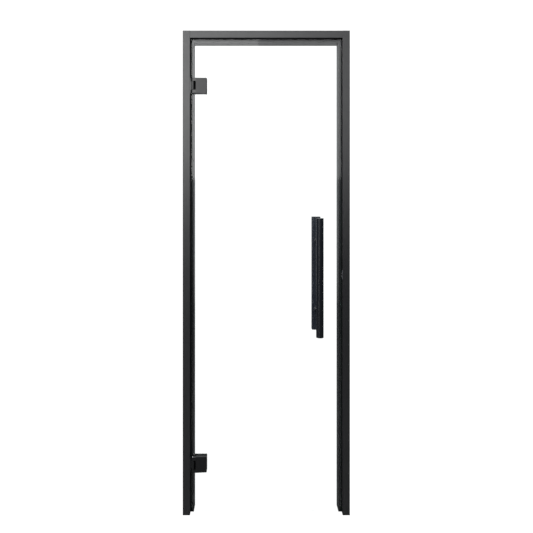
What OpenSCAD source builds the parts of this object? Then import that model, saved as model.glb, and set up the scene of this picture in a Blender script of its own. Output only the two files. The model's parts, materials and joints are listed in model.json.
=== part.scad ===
// Glass door in a rebated aluminium frame. Millimetres.
// X across the opening, Y from front to back, Z up. Y = 0 is the middle of the glass.

/* [Frame] */
// Overall width of the frame
frame_w = 690; // [560:1:900]
// Overall height of the frame
frame_h = 2000; // [1700:1:2400]
// Depth of the frame section
frame_depth = 72; // [56:1:100]
// Width of the frame's front face
face_w = 30; // [29:0.5:40]
// How far the stop stands in past the front face
stop_proj = 13.4; // [11:0.1:20]
// Wall thickness of the section
wall = 2; // [1.6:0.1:2.2]
// Radius of the section's outer arrises
arris_r = 1.2; // [0.6:0.1:1.5]
// Distance of the outer wall fixings from the frame's ends
fix_end = 100; // [60:5:130]
// Distance between the inner pair of wall fixings
fix_inner = 600; // [300:10:900]

/* [Glass] */
// Thickness of the glass
glass_t = 8; // [6:1:10]
// Space between the glass and the stop
seal_space = 5; // [4.6:0.1:6]
// Gap at the hinge edge
hinge_gap = 5; // [5:0.1:6]
// Gap at the closing edge and the top
edge_gap = 3.5; // [3:0.1:4.5]
// Gap over the floor
floor_gap = 8; // [5:0.5:15]
// Ground chamfer on the glass edges
glass_chamfer = 0.8; // [0.4:0.1:1]

/* [Hinges] */
// Height of a hinge
hinge_h = 64; // [60:1:90]
// Height of the upper hinge's middle below the top
hinge_drop = 227; // [120:1:400]
// Height of the lower hinge's middle above the floor
hinge_rise = 209.5; // [120:0.5:400]
// Radius of the barrel
barrel_r = 6.5; // [5.4:0.1:6.8]
// Radius of the hinge pin
pin_r = 3; // [2.4:0.1:3.2]
// Width of the clamp plates
plate_w = 45; // [36:1:60]
// Depth of the front plate at the barrel
plate_near = 16.3; // [14:0.1:17]
// Depth of the front plate at its free end
plate_far = 11; // [10.5:0.1:14]
// Depth of the back plate
plate_back = 7; // [5:0.5:10]
// Gap between the barrel and the plate
slot_w = 5.1; // [4:0.1:7]
// Gap between the back plate and the stop
back_gap = 2.6; // [1.5:0.1:4]
// Distance of the wing's screws from its ends
wing_screw_end = 7.5; // [6:0.5:10]
// Distance of the clamp screws from the plate's ends
clamp_end = 14; // [12:0.5:20]

/* [Handle] */
// Height of the handle's middle
handle_z = 988; // [850:1:1150]
// Distance from the closing edge of the glass to the handle
handle_inset = 97.1; // [50:0.1:150]
// Length of the handle bars
handle_len = 480; // [400:1:800]
// Distance between the posts
post_pitch = 288; // [200:1:380]
// Distance from the middle of the glass to the middle of a bar
handle_out = 64; // [50:1:80]
// Radius of the front bar
bar_r = 15; // [12:0.5:18]
// Width of the back bar
back_w = 36; // [28:0.5:42]
// Depth of the back bar
back_d = 30; // [24:0.5:36]
// Radius of the back bar's edges
back_r = 5.5; // [3:0.5:7]
// Radius of the posts
post_r = 10; // [8:0.5:11]

/* [Catch] */
// Height of the catch
catch_z = 992; // [850:1:1150]
// Radius of the catch roller
roller_r = 3.5; // [3:0.1:4.2]
// Height of the catch roller
roller_h = 9; // [7:0.5:10]
// How far the roller reaches over the glass
roller_over = 3; // [2:0.1:3.5]
// Gap between the roller and the face of the glass
roller_gap = 0.5; // [0.3:0.1:1.5]

/* [Hidden] */
$fn = 48;
foot_t = 5;
case_gap = 0.4;
case_t = 1;
pocket_gap = 0.1;
case_in = roller_r + case_gap;
case_w = case_in + case_t;
glass_recess = wall + pocket_gap + case_w + roller_r + roller_gap;
gy = glass_t / 2;
fx = frame_w / 2;
fi = fx - face_w;
si = fi - stop_proj;
yf = -gy - glass_recess;
ys = gy + seal_space;
yb = yf + frame_depth;
reb = ys - yf;
head_z = frame_h - face_w;
gx0 = -fi + hinge_gap;
gx1 = fi - edge_gap;
gz0 = floor_gap;
gz1 = head_z - edge_gap;
section_u = face_w + stop_proj;
// seals
seal_u = face_w + 4.5;
bulb_r = 3.5;
bulb_wall = 0.8;
seal_gap = 0.35;
bulb_c = ys - gy - seal_gap - bulb_r;
mouth_d = 1.4;
groove_d = 3.8;
seal_x = fx - seal_u;
seal_z = frame_h - seal_u;
// wall fixings
fix_r = 3.25;
fix_y = yf + reb / 2;
access_r = 6;
fix_zs = [for (s = [-1, 1], d = [frame_h / 2 - fix_end, fix_inner / 2]) frame_h / 2 + s * d];
// corner screws: [drop below the top, depth behind the front, inner wall's far side]
port_r = 2.2;
port_o = 3.6;
corners = [[15, reb - port_o + 0.4, face_w], [20, frame_depth - wall - port_o + 0.4, section_u]];
corner_hole_r = 2.3;
corner_head_r = 3.1;
corner_head_h = 2.6;
corner_len = 24;
driver_r = 4.5;
plug_h = 8;
// hinges, measured from the axis
wing_x = -barrel_r - 5.9;
hinge_x = -fi - wing_x;
hinge_zs = [hinge_rise, frame_h - hinge_drop];
wing_t = 2.5;
wing_y0 = arris_r;
wing_y1 = glass_recess + glass_t;
arm_y = barrel_r;
bush_t = 0.8;
bush_r = pin_r + 1.4;
run = 0.05;
side_gap = 0.3;
lug_h = 12.7;
pin_head = 1;
lug_z1 = hinge_h / 2 - pin_head;
lug_z0 = lug_z1 - lug_h;
knuckle = lug_z0 - side_gap - bush_t;
gasket_t = 1;
plate_x = barrel_r + slot_w;
plate_y = glass_recess - gasket_t;
back_y = glass_recess + glass_t + gasket_t;
back_x = wing_x + stop_proj + back_gap;
clamp_x = plate_x + plate_w / 2;
clamp_zs = [for (s = [-1, 1]) s * (hinge_h / 2 - clamp_end)];
clamp_r = 2.4;
clamp_hole = 8;
wing_screw_y = glass_recess - 1;
wing_screw_zs = [for (s = [-1, 1]) s * (hinge_h / 2 - wing_screw_end)];
// handle
handle_x = gx1 - handle_inset;
post_zs = [handle_z - post_pitch / 2, handle_z + post_pitch / 2];
washer_t = 0.5;
rosette_t = 3;
rosette_r = post_r + 2.5;
stud_r = 4;
stud_reach = 30;
stud_hole = 6;
tube_wall = 1.8;
cap_t = 1.5;
post_y0 = gy + washer_t + rosette_t;
grub_y = 18;
// catch, from the flange's inner face outward
catch_y = -gy - roller_gap - roller_r;
roller_x = gx1 - roller_over + roller_r;
plate_t = 1.5;
fork_t = 1.5;
fork_g = 0.3;
fork_z0 = roller_h / 2 + fork_g;
fork_z1 = fork_z0 + fork_t;
case_z = fork_z1 + 1.7;
case_zo = case_z + case_t;
case_len = 23;
body_x0 = fi + 1.2;
body_x1 = fi + 12;
catch_screw_z = case_zo + 4.5;
catch_plate_z = case_zo + 9;
spring_r = 2.9;
wire_r = 0.35;
coils = 6;

black = [0.05, 0.05, 0.055];
steel = [0.62, 0.62, 0.64];
dark = [0.09, 0.09, 0.1];
nylon = [0.12, 0.12, 0.12];

jamb_left();
jamb_right();
head_profile();
corner_screws();
foot_plugs();
top_plugs();
seal_left();
seal_right();
seal_head();
hinge_bracket_top();
hinge_bracket_bottom();
hinge_bushes();
bracket_screws();
catch_housing();
catch_screws();
catch_spring();
fixing_caps();
glass_pane();
hinge_front_top();
hinge_front_bottom();
hinge_back_top();
hinge_back_bottom();
hinge_gaskets();
clamp_screws();
clamp_sleeves();
hinge_pin_top();
hinge_pin_bottom();
handle_bar_front();
handle_bar_back();
handle_caps_front();
handle_caps_back();
handle_rosettes();
handle_washers();
handle_studs();
handle_sleeves();
handle_grub_screws();
catch_plunger();
catch_pin();
catch_roller();

// A box between two corners.
module box(a, b) { translate(a) cube(b - a); }

// A rectangle between two corners with rounded corners.
module rrect(a, b, r) {
  translate([a.x + r, a.y]) square([b.x - a.x - 2 * r, b.y - a.y]);
  translate([a.x, a.y + r]) square([b.x - a.x, b.y - a.y - 2 * r]);
  for (x = [a.x + r, b.x - r], y = [a.y + r, b.y - r]) translate([x, y]) circle(r);
}

// Rods along X and Y, from one place to another.
module rod_x(x0, x1, r, r2 = undef) {
  translate([x0, 0, 0]) rotate([0, 90, 0]) cylinder(h = x1 - x0, r1 = r, r2 = r2 == undef ? r : r2);
}
module rod_y(y0, y1, r, r2 = undef) {
  translate([0, y0, 0]) rotate([-90, 0, 0]) cylinder(h = y1 - y0, r1 = r, r2 = r2 == undef ? r : r2);
}

// A block with chamfered front-to-back edges, cut to a YZ outline as well.
module crossed(plan, side, z0, z1, x0, x1) {
  intersection() {
    translate([0, 0, z0]) linear_extrude(height = z1 - z0) polygon(plan);
    translate([x0, 0, 0]) rotate([90, 0, 90]) linear_extrude(height = x1 - x0) polygon(side);
  }
}

// ---- frame section: u runs in from the outer face, v back from the front face
module outline() {
  rrect([0, 0], [face_w, frame_depth], arris_r);
  rrect([face_w / 3, reb], [section_u, frame_depth], arris_r);
}

module section(ports = false) {
  difference() {
    outline();
    difference() {
      union() {
        translate([wall, wall]) square([face_w - 2 * wall, reb - wall]);
        translate([wall, reb + wall]) square([section_u - 2 * wall, frame_depth - reb - 2 * wall]);
      }
      translate([face_w - 0.5, reb]) square([10, groove_d + wall]);
      if (ports) for (c = corners) translate([c[0], c[1]]) circle(port_o);
    }
    if (ports) for (c = corners) {
      translate([c[0], c[1]]) circle(port_r);
      translate([c[0] - 0.8, c[1] - port_o - 1]) square([1.6, port_o]);
    }
    translate([seal_u - 1.4, reb - 1]) square([2.8, mouth_d + 1.5]);
    translate([seal_u - 3.1, reb + mouth_d]) square([6.2, groove_d - mouth_d]);
  }
}

module jamb_cut() {
  difference() {
    translate([-fx, yf, foot_t]) linear_extrude(height = frame_h - foot_t) section();
    for (z = fix_zs) translate([0, fix_y, z]) {
      rod_x(-fx - 1, -fx + wall + 1, fix_r);
      rod_x(-fi - wall - 1, -fi + 1, access_r);
    }
    for (c = corners) translate([0, yf + c[1], frame_h - c[0]]) {
      rod_x(-fx - 1, -fx + wall + 1, driver_r);
      rod_x(-fx + c[2] - wall - 1, -fx + c[2] + 1, corner_hole_r);
    }
  }
}

module jamb_left() {
  color(black) difference() {
    jamb_cut();
    for (z = hinge_zs, dz = wing_screw_zs)
      translate([0, yf + wing_screw_y, z + dz]) rod_x(-fi - wall - 1, -fi + 1, 1.7);
  }
}

module jamb_right() {
  color(black) difference() {
    mirror([1, 0, 0]) jamb_cut();
    box([fi - 1, yf + wall, catch_z - case_zo - pocket_gap],
      [fi + wall + 1, catch_y + case_w + pocket_gap, catch_z + case_zo + pocket_gap]);
    for (s = [-1, 1]) translate([0, catch_y, catch_z + s * catch_screw_z]) rod_x(fi - 1, fi + wall + 1, 1.35);
  }
}

module head_profile() {
  color(black) difference() {
    translate([-fi, yf, frame_h]) rotate([0, 90, 0]) linear_extrude(height = 2 * fi) section(true);
    for (s = [0, 1]) mirror([s, 0, 0])
      box([si, ys, head_z - stop_proj - 1], [fi + 1, yb + 1, frame_h + 1]);
  }
}

module corner_screws() {
  color(steel) for (s = [0, 1], c = corners) mirror([s, 0, 0]) {
    x = -fx + c[2] - wall;
    translate([0, yf + c[1], frame_h - c[0]]) difference() {
      union() {
        rod_x(x - corner_head_h, x, corner_head_r);
        rod_x(x - 0.5, x + corner_len, 2);
      }
      translate([x - corner_head_h - 1, 0, 0]) rotate([0, 90, 0]) cylinder(h = 2.6, r = 1.6, $fn = 6);
    }
  }
}

module foot_plugs() {
  color(nylon) for (s = [0, 1]) mirror([s, 0, 0]) translate([-fx, yf, 0]) {
    linear_extrude(height = foot_t) outline();
    box([wall + 0.2, wall + 0.2, foot_t - 0.5], [face_w - wall - 0.2, reb - 0.2, foot_t + plug_h]);
    box([wall + 0.2, reb + groove_d + wall + 0.3, foot_t - 0.5],
      [section_u - wall - 0.2, frame_depth - wall - 0.2, foot_t + plug_h]);
  }
}

module top_plugs() {
  color(nylon) for (s = [0, 1]) mirror([s, 0, 0]) translate([-fx, yf, frame_h - plug_h]) {
    box([wall, wall, 0], [face_w - wall, reb, plug_h]);
    box([wall, reb + groove_d + wall + 0.3, 0], [section_u - wall, frame_depth - wall, plug_h]);
  }
}

// Seal section: x across, y back from the stop's face.
module seal_bulb() {
  difference() {
    intersection() {
      translate([0, -bulb_c]) circle(bulb_r);
      translate([-bulb_r - 1, -2 * bulb_r - 2]) square([2 * bulb_r + 2, 2 * bulb_r + 2]);
    }
    intersection() {
      translate([0, -bulb_c]) circle(bulb_r - bulb_wall);
      translate([-bulb_r, -2 * bulb_r - 2]) square([2 * bulb_r, 2 * bulb_r + 2 - bulb_wall]);
    }
  }
}
module seal_stem() {
  translate([-1.1, -0.3]) square([2.2, mouth_d + 0.8]);
  translate([-2.8, mouth_d + 0.2]) square([5.6, groove_d - mouth_d - 0.5]);
}

module jamb_seal() {
  translate([-seal_x, ys, foot_t + 0.5]) linear_extrude(height = head_z - foot_t - 0.8) {
    seal_bulb();
    seal_stem();
  }
}
module seal_left() { color(dark) jamb_seal(); }
module seal_right() { color(dark) mirror([1, 0, 0]) jamb_seal(); }

// The head's seal starts clear of the arc that the glass corner by the axis sweeps.
module seal_head() {
  sweep = norm([hinge_x - gx0, glass_recess + glass_t]);
  tip = glass_recess + glass_t + seal_gap;
  x0 = hinge_x + sqrt(max(0, pow(sweep, 2) - pow(tip, 2))) + 0.6;
  color(dark) translate([x0, ys, seal_z]) rotate([0, 90, 0]) {
    linear_extrude(height = seal_x - bulb_r - 0.1 - x0) seal_bulb();
    linear_extrude(height = si - 0.3 - x0) seal_stem();
  }
}

module fixing_caps() {
  color(nylon) for (s = [0, 1], z = fix_zs) mirror([s, 0, 0]) translate([0, fix_y, z]) {
    rod_x(-fi, -fi + 0.7, access_r + 1.2);
    rod_x(-fi - wall - 0.5, -fi + 0.3, access_r - 0.15);
  }
}

// ---- hinges
module at_hinge(i) { translate([hinge_x, yf, hinge_zs[i]]) children(); }

module bracket(i) {
  color(black) at_hinge(i) difference() {
    union() {
      cylinder(r = barrel_r, h = 2 * knuckle, center = true);
      box([wing_x + 1, wing_y0, -knuckle], [0, arm_y, knuckle]);
      box([wing_x, wing_y0, -hinge_h / 2], [wing_x + wing_t, wing_y1, hinge_h / 2]);
    }
    cylinder(r = bush_r + 0.1, h = hinge_h, center = true);
    for (z = wing_screw_zs) translate([0, wing_screw_y, z]) {
      rod_x(wing_x - 1, wing_x + wing_t + 1, 1.8);
      rod_x(wing_x + wing_t - 1.7, wing_x + wing_t, 1.8, 3.5);
    }
  }
}
module hinge_bracket_top() { bracket(1); }
module hinge_bracket_bottom() { bracket(0); }

module hinge_bushes() {
  color(nylon) for (i = [0, 1], s = [0, 1]) at_hinge(i) mirror([0, 0, s]) difference() {
    union() {
      translate([0, 0, knuckle - 11]) cylinder(r = bush_r, h = 11.5);
      translate([0, 0, knuckle]) cylinder(r = barrel_r - 0.3, h = bush_t);
    }
    translate([0, 0, knuckle - 12]) cylinder(r = pin_r + run, h = 14);
  }
}

module bracket_screws() {
  color(steel) for (i = [0, 1], z = wing_screw_zs) at_hinge(i) translate([0, wing_screw_y, z]) difference() {
    union() {
      rod_x(wing_x + wing_t - 1.8, wing_x + wing_t - 0.1, 1.6, 3.3);
      rod_x(wing_x - 9, wing_x + wing_t - 1.7, 1.6);
    }
    translate([wing_x + wing_t - 1, 0, 0]) rotate([0, 90, 0]) cylinder(h = 2, r = 1.2, $fn = 6);
  }
}

module front_plate(i) {
  ch = 0.8;
  n = plate_near - (glass_recess - gasket_t);
  f = plate_far - (glass_recess - gasket_t);
  slope = (n - f) / plate_w;
  x1 = plate_x + plate_w;
  color(black) at_hinge(i) difference() {
    union() {
      crossed(
        [[plate_x, plate_y], [plate_x, -n + ch], [plate_x + ch, -n + ch * slope],
         [x1 - 2 * ch, -f - 2 * ch * slope], [x1, -f + 1.6 * ch], [x1, plate_y]],
        [[-plate_near, -hinge_h / 2 + 2 * ch], [-n, -hinge_h / 2 + ch], [-n + 7 * ch, -hinge_h / 2],
         [plate_y + 1, -hinge_h / 2], [plate_y + 1, hinge_h / 2], [-n + 7 * ch, hinge_h / 2],
         [-n, hinge_h / 2 - ch], [-plate_near, hinge_h / 2 - 2 * ch]],
        -hinge_h / 2, hinge_h / 2, plate_x - 1, x1 + 1);
      for (s = [0, 1]) mirror([0, 0, s]) {
        translate([0, 0, lug_z0]) cylinder(r = barrel_r, h = lug_h);
        box([0, -barrel_r + 0.2, lug_z0], [plate_x + 1.5, barrel_r - 0.2, lug_z1]);
      }
    }
    cylinder(r = pin_r + 0.1, h = hinge_h + 2, center = true);
    for (z = clamp_zs) translate([clamp_x, 0, z]) rod_y(plate_y - 8.5, plate_y + 1, clamp_r + 0.1);
  }
}
module hinge_front_top() { front_plate(1); }
module hinge_front_bottom() { front_plate(0); }

module back_plate(i) {
  ch = 1;
  x1 = plate_x + plate_w;
  y1 = back_y + plate_back;
  h = hinge_h / 2;
  color(black) at_hinge(i) difference() {
    crossed(
      [[back_x, back_y], [x1, back_y], [x1, y1 - ch], [x1 - ch, y1], [back_x + ch, y1], [back_x, y1 - ch]],
      [[back_y, -h], [y1 - ch, -h], [y1, -h + ch], [y1, h - ch], [y1 - ch, h], [back_y, h]],
      -h, h, back_x - 1, x1 + 1);
    for (z = clamp_zs) translate([clamp_x, 0, z]) {
      rod_y(back_y - 1, y1 + 1, clamp_r + 0.2);
      rod_y(y1 - 3, y1, clamp_r + 0.2, clamp_r + 3.2);
    }
  }
}
module hinge_back_top() { back_plate(1); }
module hinge_back_bottom() { back_plate(0); }

module hinge_gaskets() {
  e = 0.6;
  color(dark) for (i = [0, 1], y = [plate_y, glass_recess + glass_t]) at_hinge(i) difference() {
    box([back_x + e, y, -hinge_h / 2 + e], [plate_x + plate_w - e, y + gasket_t, hinge_h / 2 - e]);
    for (z = clamp_zs) translate([clamp_x, 0, z]) rod_y(y - 1, y + gasket_t + 1, clamp_r + 0.3);
  }
}

module clamp_screws() {
  y1 = back_y + plate_back;
  color(steel) for (i = [0, 1], z = clamp_zs) at_hinge(i) translate([clamp_x, 0, z]) difference() {
    union() {
      rod_y(y1 - 3, y1 - 0.2, clamp_r, clamp_r + 2.8);
      rod_y(plate_y - 8, y1 - 2.9, clamp_r);
    }
    translate([0, y1 - 2, 0]) rotate([-90, 0, 0]) cylinder(h = 3, r = 1.8, $fn = 6);
  }
}

module clamp_sleeves() {
  color(nylon) for (i = [0, 1], z = clamp_zs) at_hinge(i) translate([clamp_x, 0, z]) difference() {
    rod_y(glass_recess, glass_recess + glass_t, clamp_hole - 0.3);
    rod_y(glass_recess - 1, glass_recess + glass_t + 1, clamp_r + 0.3);
  }
}

module hinge_pin(i) {
  color(steel) at_hinge(i) {
    cylinder(r = pin_r, h = 2 * lug_z1, center = true);
    for (s = [0, 1]) mirror([0, 0, s]) {
      translate([0, 0, lug_z1]) cylinder(r = pin_r + 1.6, h = pin_head / 2);
      translate([0, 0, lug_z1 + pin_head / 2]) cylinder(r1 = pin_r + 1.6, r2 = pin_r + 0.9, h = pin_head / 2);
    }
  }
}
module hinge_pin_top() { hinge_pin(1); }
module hinge_pin_bottom() { hinge_pin(0); }

// ---- glass
module glass_pane() {
  c = glass_chamfer;
  color([0.75, 0.85, 0.82, 0.3]) difference() {
    crossed(
      [[gx0 + c, -gy], [gx1 - c, -gy], [gx1, -gy + c], [gx1, gy - c], [gx1 - c, gy], [gx0 + c, gy],
       [gx0, gy - c], [gx0, -gy + c]],
      [[-gy, gz0 + c], [-gy + c, gz0], [gy - c, gz0], [gy, gz0 + c], [gy, gz1 - c], [gy - c, gz1],
       [-gy + c, gz1], [-gy, gz1 - c]],
      gz0, gz1, gx0 - 1, gx1 + 1);
    for (i = [0, 1], z = clamp_zs) at_hinge(i) translate([clamp_x, 0, z])
      rod_y(glass_recess - 1, glass_recess + glass_t + 1, clamp_hole);
    for (z = post_zs) translate([handle_x, 0, z]) rod_y(-gy - 1, gy + 1, stud_hole);
  }
}

// ---- handle: built on the back side, mirrored to the front
module at_posts() { for (z = post_zs) translate([handle_x, 0, z]) children(); }

module posts(reach) { at_posts() rod_y(post_y0, reach, post_r); }

module post_bores() {
  at_posts() {
    rod_y(post_y0 - 1, stud_reach, stud_r + 0.1);
    translate([0, grub_y, -post_r - 1]) cylinder(r = 2.5, h = post_r + 1 - stud_r);
  }
}

module handle_bar_front() {
  len = handle_len - 2 * cap_t;
  color(black) mirror([0, 1, 0]) difference() {
    union() {
      translate([handle_x, handle_out, handle_z]) cylinder(r = bar_r, h = len, center = true);
      posts(handle_out);
    }
    translate([handle_x, handle_out, handle_z]) cylinder(r = bar_r - tube_wall, h = len + 2, center = true);
    post_bores();
  }
}

module back_section(inset) {
  w = back_w / 2 - inset;
  d = back_d / 2 - inset;
  rrect([-w, -d], [w, d], max(back_r - inset, 0.5));
}

module handle_bar_back() {
  len = handle_len - 2 * cap_t;
  color(black) difference() {
    union() {
      translate([handle_x, handle_out, handle_z]) linear_extrude(height = len, center = true) back_section(0);
      posts(handle_out);
    }
    translate([handle_x, handle_out, handle_z])
      linear_extrude(height = len + 2, center = true) back_section(tube_wall);
    post_bores();
  }
}

module handle_caps_front() {
  color(black) for (s = [0, 1]) translate([handle_x, -handle_out, handle_z]) mirror([0, 0, s]) {
    translate([0, 0, handle_len / 2 - cap_t]) cylinder(r = bar_r, h = cap_t - 0.6);
    translate([0, 0, handle_len / 2 - 0.6]) cylinder(r1 = bar_r, r2 = bar_r - 0.6, h = 0.6);
    translate([0, 0, handle_len / 2 - cap_t - 6]) cylinder(r = bar_r - tube_wall - 0.2, h = 6.5);
  }
}

module handle_caps_back() {
  color(black) for (s = [0, 1]) translate([handle_x, handle_out, handle_z]) mirror([0, 0, s]) {
    translate([0, 0, handle_len / 2 - cap_t]) linear_extrude(height = cap_t) back_section(0);
    translate([0, 0, handle_len / 2 - cap_t - 6]) linear_extrude(height = 6.5) back_section(tube_wall + 0.2);
  }
}

module handle_rosettes() {
  color(black) for (s = [0, 1]) mirror([0, s, 0]) at_posts() difference() {
    union() {
      rod_y(gy + washer_t, post_y0 - 0.6, rosette_r);
      rod_y(post_y0 - 0.6, post_y0, rosette_r, rosette_r - 0.6);
    }
    rod_y(gy, post_y0 + 1, stud_r + 0.3);
  }
}

module handle_washers() {
  color(nylon) for (s = [0, 1]) mirror([0, s, 0]) at_posts() difference() {
    rod_y(gy, gy + washer_t, rosette_r - 0.3);
    rod_y(gy - 1, gy + washer_t + 1, stud_r + 0.2);
  }
}

module handle_studs() { color(steel) at_posts() rod_y(-stud_reach, stud_reach, stud_r); }

module handle_sleeves() {
  color(nylon) at_posts() difference() {
    rod_y(-gy, gy, stud_hole - 0.3);
    rod_y(-gy - 1, gy + 1, stud_r + 0.3);
  }
}

module handle_grub_screws() {
  color(steel) for (s = [0, 1]) mirror([0, s, 0]) at_posts() translate([0, grub_y, 0]) difference() {
    translate([0, 0, -post_r + 0.8]) cylinder(r = 2.4, h = post_r - 0.8 - stud_r - 0.05);
    translate([0, 0, -post_r]) cylinder(r = 1.3, h = 2.8, $fn = 6);
  }
}

// ---- roller catch
module at_catch() { translate([0, catch_y, catch_z]) children(); }

module catch_housing() {
  color(steel) at_catch() difference() {
    union() {
      box([fi - plate_t, yf + arris_r - catch_y, -catch_plate_z], [fi, case_w + 0.5, catch_plate_z]);
      box([fi - 0.5, -case_w, -case_zo], [fi + case_len + 1.5, case_w, case_zo]);
    }
    box([fi - plate_t - 1, -case_in, -fork_z1 - case_gap], [fi + 5, case_in, fork_z1 + case_gap]);
    box([fi, -case_in, -case_z], [fi + case_len, case_in, case_z]);
    for (s = [-1, 1]) translate([0, 0, s * catch_screw_z]) {
      rod_x(fi - plate_t - 1, fi + 1, 1.4);
      mirror([1, 0, 0]) rod_x(-fi + plate_t - 1.1, -fi + plate_t, 1.4, 2.5);
    }
  }
}

module catch_screws() {
  color(steel) at_catch() for (s = [-1, 1]) translate([0, 0, s * catch_screw_z]) difference() {
    union() {
      mirror([1, 0, 0]) rod_x(-fi + plate_t - 1.1, -fi + plate_t - 0.1, 1.25, 2.25);
      rod_x(fi - plate_t + 1, fi + 7, 1.25);
    }
    translate([fi - plate_t - 1, 0, 0]) rotate([0, 90, 0]) cylinder(h = 1.8, r = 0.9, $fn = 6);
  }
}

module catch_spring() {
  len = case_len + fi - body_x1;
  pitch = len / coils;
  color(steel) at_catch() translate([body_x1, 0, 0]) rotate([0, 90, 0])
    linear_extrude(height = len, twist = -360 * coils, slices = coils * 16, segments = 8, $fn = 8)
      polygon([for (t = [0:45:315]) let (a = wire_r * sin(t) / pitch * 360, r = spring_r + wire_r * cos(t))
        [r * cos(a), r * sin(a)]]);
}

module catch_plunger() {
  w = roller_r;
  color(steel) at_catch() difference() {
    union() {
      for (s = [-1, 1]) {
        z0 = s > 0 ? fork_z0 : -fork_z1;
        translate([roller_x, 0, z0]) cylinder(r = w - 1, h = fork_t);
        box([roller_x, -w + 1, z0], [body_x1 - 2, w - 1, z0 + fork_t]);
      }
      box([body_x0 + roller_r - 2.4, -w, -fork_z1], [body_x1, w, fork_z1]);
      box([fi + side_gap, -w, fork_z0], [fi + 3, w, case_z - 0.3]);
      box([fi + side_gap, -w, -case_z + 0.3], [fi + 3, w, -fork_z0]);
      rod_x(body_x1 - 1, body_x1 + 5, 2);
    }
    translate([roller_x, 0, 0]) cylinder(r = roller_r + 0.5, h = 2 * fork_z0, center = true);
    translate([roller_x, 0, 0]) cylinder(r = 1.05, h = 30, center = true);
  }
}

module catch_pin() {
  color(steel) at_catch() translate([roller_x, 0, 0]) cylinder(r = 1, h = 2 * fork_z1, center = true);
}

module catch_roller() {
  e = 0.4;
  color(nylon) at_catch() translate([roller_x, 0, 0]) difference() {
    union() {
      cylinder(r = roller_r, h = roller_h - 2 * e, center = true);
      for (s = [0, 1]) mirror([0, 0, s])
        translate([0, 0, roller_h / 2 - e]) cylinder(r1 = roller_r, r2 = roller_r - e, h = e);
    }
    cylinder(r = 1 + run, h = roller_h + 2, center = true);
  }
}
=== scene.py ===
import json
import math

import bpy
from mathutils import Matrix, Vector


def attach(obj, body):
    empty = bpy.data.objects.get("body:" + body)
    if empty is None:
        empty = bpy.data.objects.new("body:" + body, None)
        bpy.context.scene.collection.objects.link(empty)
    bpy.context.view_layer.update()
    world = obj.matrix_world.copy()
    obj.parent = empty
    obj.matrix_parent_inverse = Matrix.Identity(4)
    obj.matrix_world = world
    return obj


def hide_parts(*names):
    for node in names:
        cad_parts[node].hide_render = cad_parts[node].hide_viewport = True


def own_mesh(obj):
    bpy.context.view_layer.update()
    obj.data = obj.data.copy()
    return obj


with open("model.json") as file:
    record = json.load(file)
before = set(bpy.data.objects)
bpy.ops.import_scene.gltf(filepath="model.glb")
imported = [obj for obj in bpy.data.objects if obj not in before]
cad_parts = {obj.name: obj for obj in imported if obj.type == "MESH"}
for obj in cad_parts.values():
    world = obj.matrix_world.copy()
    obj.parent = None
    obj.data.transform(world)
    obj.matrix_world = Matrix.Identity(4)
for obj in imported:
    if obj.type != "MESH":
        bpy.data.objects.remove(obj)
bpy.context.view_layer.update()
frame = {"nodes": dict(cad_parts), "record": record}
record = frame["record"]
scene = bpy.context.scene
scene.view_settings.view_transform = "Standard"
scene.view_settings.look = "None"

# Lengths are in metres, lights in watts.
MIDDLE_OF_NOISE = (0.3, 0.7)  # the part of a noise's range that a ramp spreads over
FINE_NOISE = 900.0  # noise scale of the finest grain
FINE_DEPTH = 0.00004  # height of that grain
CLOUD_DARK, CLOUD_LIGHT = 0.9, 1.12  # how far the cloudy tone strays from a finish's colour
RUBBED = 1.8  # how much lighter a coating is where it's rubbed
SHEEN_SWING = 0.06  # how far the roughness strays, and how much smoother a rubbed arris is
ARRIS = 0.0006  # radius inside which an edge counts as an arris
ARRIS_BEND = (0.995, 0.8)  # cosines between which the wear grows from none to full
PATCHES = (-0.4, 1.2)  # past 0 and 1, so that some patches have no wear and some have it all
GLASS_IOR = 1.5
BOTH_FACES = 1.15  # how much stronger the far face makes the sheen
FACE_COSINE = 0.9  # a surface whose normal has less Y than this is an edge
FLOOR_LIT_EDGE_SHARE = 0.05  # how opaque the glass's level edges look; kept low as painted light, for the pale floor's light on the bottom edge
SHADED_UPRIGHT_SHARE = 0.6  # what is added to that on the upright edges, as painted shade for the gap beside the frame
FLOOR_REACH = 8  # half the floor's width
CAMERA_SHARE = 0.97  # share of plain glow that the camera sees on the floor


# ---- node helpers
def new_material(name):
    mat = bpy.data.materials.new(name)
    mat.use_nodes = True
    nodes = mat.node_tree.nodes
    return mat, nodes, mat.node_tree.links, nodes["Principled BSDF"]


def noise(nodes, links, coord, scale, detail, stretch=(1, 1, 1)):
    mapping = nodes.new("ShaderNodeMapping")
    mapping.inputs["Scale"].default_value = stretch
    links.new(coord.outputs["Object"], mapping.inputs["Vector"])
    texture = nodes.new("ShaderNodeTexNoise")
    texture.inputs["Scale"].default_value = scale
    texture.inputs["Detail"].default_value = detail
    links.new(mapping.outputs["Vector"], texture.inputs["Vector"])
    return texture.outputs["Fac"]


def ramp(nodes, links, source, dark, light, socket):
    """Colours a socket from dark to light by a noise."""
    node = nodes.new("ShaderNodeValToRGB")
    ends = zip(node.color_ramp.elements, MIDDLE_OF_NOISE, (dark, light))
    for element, position, colour in ends:
        element.position = position
        element.color = (*colour, 1)
    links.new(source, node.inputs["Fac"])
    links.new(node.outputs["Color"], socket)


def spread(nodes, links, source, low, high):
    node = nodes.new("ShaderNodeMapRange")
    node.inputs["To Min"].default_value = low
    node.inputs["To Max"].default_value = high
    links.new(source, node.inputs["Value"])
    return node.outputs["Result"]


def bump(nodes, links, source, distance, strength, shader):
    node = nodes.new("ShaderNodeBump")
    node.inputs["Distance"].default_value = distance
    node.inputs["Strength"].default_value = strength
    links.new(source, node.inputs["Height"])
    links.new(node.outputs["Normal"], shader.inputs["Normal"])


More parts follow.
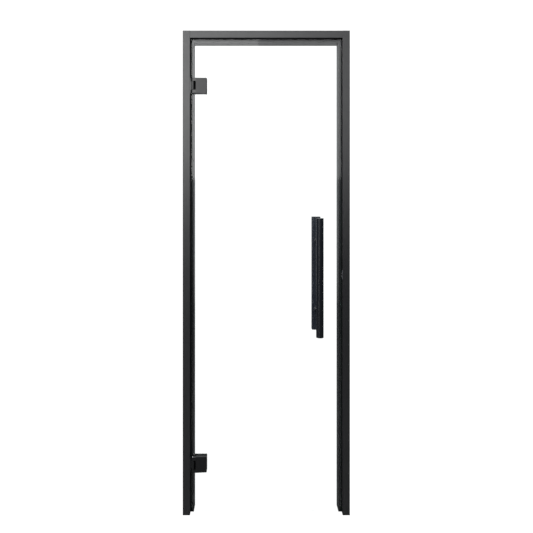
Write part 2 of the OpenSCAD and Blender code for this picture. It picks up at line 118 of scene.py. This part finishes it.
def math_node(nodes, links, operation, *values):
    node = nodes.new("ShaderNodeMath")
    node.operation = operation
    for value, socket in zip(values, node.inputs):
        if isinstance(value, (int, float)):
            socket.default_value = value
        else:
            links.new(value, socket)
    return node.outputs["Value"]


def mix_shaders(nodes, links, share, first, second):
    node = nodes.new("ShaderNodeMixShader")
    links.new(share, node.inputs["Fac"])
    links.new(first, node.inputs[1])
    links.new(second, node.inputs[2])
    return node.outputs["Shader"]


def edge_wear(nodes, links, coord):
    """0 on open faces, up to 1 on the arrises, broken up so that it's patchy."""
    rounded = nodes.new("ShaderNodeBevel")
    rounded.samples = 4
    rounded.inputs["Radius"].default_value = ARRIS
    sharp = nodes.new("ShaderNodeNewGeometry")
    dot = nodes.new("ShaderNodeVectorMath")
    dot.operation = "DOT_PRODUCT"
    links.new(rounded.outputs["Normal"], dot.inputs[0])
    links.new(sharp.outputs["Normal"], dot.inputs[1])
    bend = nodes.new("ShaderNodeMapRange")
    bend.inputs["From Min"].default_value = ARRIS_BEND[0]
    bend.inputs["From Max"].default_value = ARRIS_BEND[1]
    links.new(dot.outputs["Value"], bend.inputs["Value"])
    patch = noise(nodes, links, coord, 45.0, 4.0)
    patchy = spread(nodes, links, patch, *PATCHES)
    return math_node(nodes, links, "MULTIPLY", bend.outputs["Result"], patchy)


# ---- materials
def coated(
    name,
    base,
    rough,
    grain=FINE_NOISE,
    depth=FINE_DEPTH,
    metal=0.0,
    specular=0.5,
    stretch=(1, 1, 1),
):
    """A coated, moulded or drawn surface: cloudy tone, uneven sheen, fine grain, rubbed arrises."""
    mat, nodes, links, bsdf = new_material(name)
    coord = nodes.new("ShaderNodeTexCoord")
    worn = edge_wear(nodes, links, coord)
    bare = nodes.new("ShaderNodeMix")
    bare.data_type = "RGBA"
    bare.inputs["B"].default_value = (*[min(1.0, c * RUBBED) for c in base], 1)
    links.new(worn, bare.inputs["Factor"])
    cloud = noise(nodes, links, coord, 9.0, 4.0)
    dark = [c * CLOUD_DARK for c in base]
    light = [c * CLOUD_LIGHT for c in base]
    ramp(nodes, links, cloud, dark, light, bare.inputs["A"])
    links.new(bare.outputs["Result"], bsdf.inputs["Base Color"])
    cast = noise(nodes, links, coord, 60.0, 5.0, stretch)
    sheen = spread(nodes, links, cast, rough - SHEEN_SWING, rough + SHEEN_SWING)
    polished = math_node(nodes, links, "MULTIPLY", worn, -SHEEN_SWING)
    polished = math_node(nodes, links, "ADD", sheen, polished)
    links.new(polished, bsdf.inputs["Roughness"])
    fine = noise(nodes, links, coord, grain, 2.0, stretch)
    bump(nodes, links, fine, depth, 0.5, bsdf)
    bsdf.inputs["Metallic"].default_value = metal
    bsdf.inputs["Specular IOR Level"].default_value = specular
    return mat


def clear_glass():
    """Clear toughened glass: seen straight through, with a mirror sheen on its face, a little dust
    and ground edges with the glass's green."""
    mat, nodes, links, ground = new_material("clear_glass")
    coord = nodes.new("ShaderNodeTexCoord")
    dust = noise(nodes, links, coord, 7.0, 6.0)
    through = nodes.new("ShaderNodeBsdfTransparent")
    tint = through.inputs["Color"]
    ramp(nodes, links, dust, (0.984, 0.991, 0.988), (0.988, 0.994, 0.991), tint)
    mirror = nodes.new("ShaderNodeBsdfGlossy")
    mirror.inputs["Color"].default_value = (1, 1, 1, 1)
    smear = spread(nodes, links, dust, 0.02, 0.07)
    links.new(smear, mirror.inputs["Roughness"])
    wave = noise(nodes, links, coord, 2.2, 1.0)
    bump(nodes, links, wave, 0.0004, 0.3, mirror)
    # both faces' reflections are drawn on the face that is met first
    fresnel = nodes.new("ShaderNodeFresnel")
    fresnel.inputs["IOR"].default_value = GLASS_IOR
    geometry = nodes.new("ShaderNodeNewGeometry")
    first = math_node(nodes, links, "SUBTRACT", 1.0, geometry.outputs["Backfacing"])
    share = math_node(nodes, links, "MULTIPLY", fresnel.outputs["Fac"], first)
    share = math_node(nodes, links, "MULTIPLY", share, BOTH_FACES)
    pane = mix_shaders(nodes, links, share, through.outputs["BSDF"], mirror.outputs["BSDF"])
    # the ground edges, found by which way the surface faces
    grain = noise(nodes, links, coord, FINE_NOISE, 2.0)
    edge_tone = ground.inputs["Base Color"]
    ramp(nodes, links, dust, (0.030, 0.058, 0.048), (0.042, 0.078, 0.066), edge_tone)
    edge_sheen = spread(nodes, links, grain, 0.2, 0.4)
    links.new(edge_sheen, ground.inputs["Roughness"])
    bump(nodes, links, grain, FINE_DEPTH, 0.5, ground)
    facing = nodes.new("ShaderNodeSeparateXYZ")
    links.new(coord.outputs["Normal"], facing.inputs["Vector"])
    along_y = math_node(nodes, links, "ABSOLUTE", facing.outputs["Y"])
    edge = math_node(nodes, links, "LESS_THAN", along_y, FACE_COSINE)
    # painted light and shade: the bottom edge is drawn nearly see-through, for the pale floor's
    # light on it, and the upright edges much more opaque and so darker, for the shade in the gap
    # beside the frame
    upright = math_node(nodes, links, "ABSOLUTE", facing.outputs["X"])
    painted_edge_share = math_node(nodes, links, "MULTIPLY", upright, SHADED_UPRIGHT_SHARE)
    painted_edge_share = math_node(nodes, links, "ADD", painted_edge_share, FLOOR_LIT_EDGE_SHARE)
    painted_edge_share = math_node(nodes, links, "MULTIPLY", painted_edge_share, edge)
    whole = mix_shaders(nodes, links, painted_edge_share, pane, ground.outputs["BSDF"])
    links.new(whole, nodes["Material Output"].inputs["Surface"])
    return mat


slots = {
    "frame_black": coated(
        "frame_black", (0.020, 0.0202, 0.0208), 0.39, grain=1400.0, depth=0.00003, specular=1.0
    ),
    "hinge_black": coated(
        "hinge_black", (0.002, 0.0022, 0.0025), 0.33, grain=1400.0, depth=0.00003, specular=0.85
    ),
    "handle_black": coated(
        "handle_black", (0.0125, 0.0145, 0.0185), 0.20, grain=1500.0, depth=0.000012, specular=1.0
    ),
    "bright_steel": coated(
        "bright_steel",
        (0.6, 0.6, 0.62),
        0.3,
        grain=500.0,
        depth=0.00002,
        metal=1.0,
        stretch=(1, 1, 0.05),
    ),
    "nylon_black": coated("nylon_black", (0.008, 0.008, 0.008), 0.55, grain=800.0, depth=0.00005),
    "seal_rubber": coated("seal_rubber", (0.006, 0.006, 0.006), 0.7, grain=700.0, depth=0.00006),
    "clear_glass": clear_glass(),
}
# painted sheen: the back bar gets a lighter, bluer and duller copy of the handle finish, for how it
# looks behind the glass
back_bar_painted_sheen = coated(
    "handle_back_painted_sheen", (0.030, 0.036, 0.052), 0.34, grain=1500.0, depth=0.00002, specular=0.8
)
for part in record["subparts"]:
    node = frame["nodes"][part["node"]]
    node.data.materials.clear()
    finish = back_bar_painted_sheen if part["node"] == "handle_bar_back" else slots[part["material_slot"]]
    node.data.materials.append(finish)

# the catch's spring sits between the plunger and its fixed end, and shortens as the plunger is
# pressed in; here it is a copy of its mesh, with a mesh of its own, hung on the frame's body, and
# the part from the file is hidden
coil = bpy.data.objects.new("catch_spring_coil", frame["nodes"]["catch_spring"].data.copy())
scene.collection.objects.link(coil)
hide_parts("catch_spring")
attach(coil, "frame")
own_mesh(coil)


# ---- studio: white where the eye looks at it, dim in the light it gives
def seen_directly(nodes):
    return nodes.new("ShaderNodeLightPath").outputs["Is Camera Ray"]


paper, nodes, links, bsdf = new_material("studio_white")
coord = nodes.new("ShaderNodeTexCoord")
mottle = noise(nodes, links, coord, 3.0, 2.0)
ramp(nodes, links, mottle, (0.34, 0.34, 0.34), (0.36, 0.36, 0.36), bsdf.inputs["Base Color"])
bsdf.inputs["Roughness"].default_value = 0.9
bsdf.inputs["Specular IOR Level"].default_value = 0.1
glow = nodes.new("ShaderNodeEmission")
glow.inputs["Color"].default_value = (1, 1, 1, 1)
glow.inputs["Strength"].default_value = 1.15
share = math_node(nodes, links, "MULTIPLY", seen_directly(nodes), CAMERA_SHARE)
lit = mix_shaders(nodes, links, share, bsdf.outputs["BSDF"], glow.outputs["Emission"])
links.new(lit, nodes["Material Output"].inputs["Surface"])

mesh = bpy.data.meshes.new("floor")
corners = [(x * FLOOR_REACH, y * FLOOR_REACH, 0) for x, y in ((-1, -1), (1, -1), (1, 1), (-1, 1))]
mesh.from_pydata(corners, [], [(0, 1, 2, 3)])
mesh.materials.append(paper)
obj = bpy.data.objects.new("floor", mesh)
scene.collection.objects.link(obj)

world = bpy.data.worlds.new("studio")
world.use_nodes = True
scene.world = world
nodes, links = world.node_tree.nodes, world.node_tree.links
dim = nodes["Background"]
dim.inputs["Color"].default_value = (0.78, 0.92, 1.2, 1)
dim.inputs["Strength"].default_value = 0.065
white = nodes.new("ShaderNodeBackground")
white.inputs["Color"].default_value = (1, 1, 1, 1)
white.inputs["Strength"].default_value = 1.12
backdrop = mix_shaders(
    nodes, links, seen_directly(nodes), dim.outputs["Background"], white.outputs["Background"]
)
links.new(backdrop, nodes["World Output"].inputs["Surface"])

# name, place, what it points at, width, height, watts
LIGHTS = (
    ("key", (-1.0, -2.6, 2.45), (-1.0, 0, 2.45), 2.0, 2.0, 36),
    ("key_right", (0.6, -2.6, 2.45), (0.6, 0, 2.45), 1.2, 2.0, 10),
    ("strip", (-1.5, -2.6, 0.75), (-0.2, 0, 0.9), 0.4, 1.3, 2.8),
    ("side", (-1.6, -0.6, 2.9), (0.3, 0, 1.9), 0.8, 0.8, 26),
    ("back", (0, 3.4, 1.7), (0, 0, 1.7), 5.0, 3.0, 20),
)
for name, place, target, width, height, watts in LIGHTS:
    data = bpy.data.lights.new(name, "AREA")
    data.shape = "RECTANGLE"
    data.size, data.size_y, data.energy = width, height, watts
    light = bpy.data.objects.new(name, data)
    light.location = place
    aim = Vector([t - p for t, p in zip(target, place)])
    light.rotation_euler = aim.to_track_quat("-Z", "Y").to_euler()
    light.visible_camera = False
    scene.collection.objects.link(light)

# the camera looks level, and the lens shift sets the door where it is in the photograph
cam = bpy.data.cameras.new("camera")
cam.sensor_width = 36
cam.lens = 34.38
cam.shift_x = 0.0272
cam.shift_y = -0.1417
cam.clip_start, cam.clip_end = 0.05, 100
camera = bpy.data.objects.new("camera", cam)
camera.location = (-0.059, -2.115, 1.338)
camera.rotation_euler = (math.radians(90), 0, 0)
scene.collection.objects.link(camera)
scene.camera = camera
